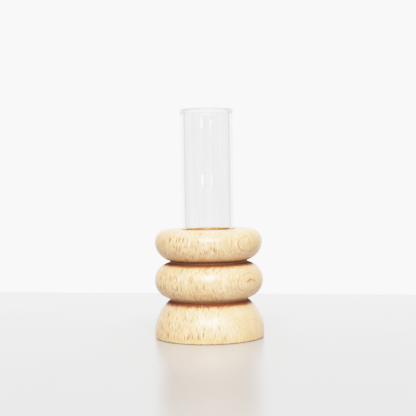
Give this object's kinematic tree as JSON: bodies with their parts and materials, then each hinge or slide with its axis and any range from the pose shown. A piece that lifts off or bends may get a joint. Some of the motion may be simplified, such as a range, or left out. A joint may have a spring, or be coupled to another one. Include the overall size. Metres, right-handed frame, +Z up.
{
  "type": "test tube vase",
  "caption": "Clear glass test tube that lifts out of a turned beech stand made of a domed base and round-edged rings.",
  "frame": {"origin": "middle of the foot, on the surface that the vase stands on", "axes": "+Z up along the turning axis, towards the mouth of the tube; -Y faces the viewer of the picture, so that +X is to the right"},
  "size_m": [0.0544, 0.0544, 0.1133],
  "materials": {
    "beech": "sanded and waxed, satin",
    "cork": "matt, granular",
    "glass": "clear, fire-polished"
  },
  "bodies": {
    "stand": {"base": "beech", "middle_ring": "beech", "top_ring": "beech", "tube_cushion": "cork"},
    "tube": {"glass_tube": "glass"}
  },
  "joints": [
    {"name": "tube_lift", "type": "slide", "parent": "stand", "child": "tube", "axis": [0, 0, 1], "range_m": [0, 0.045]}
  ]
}
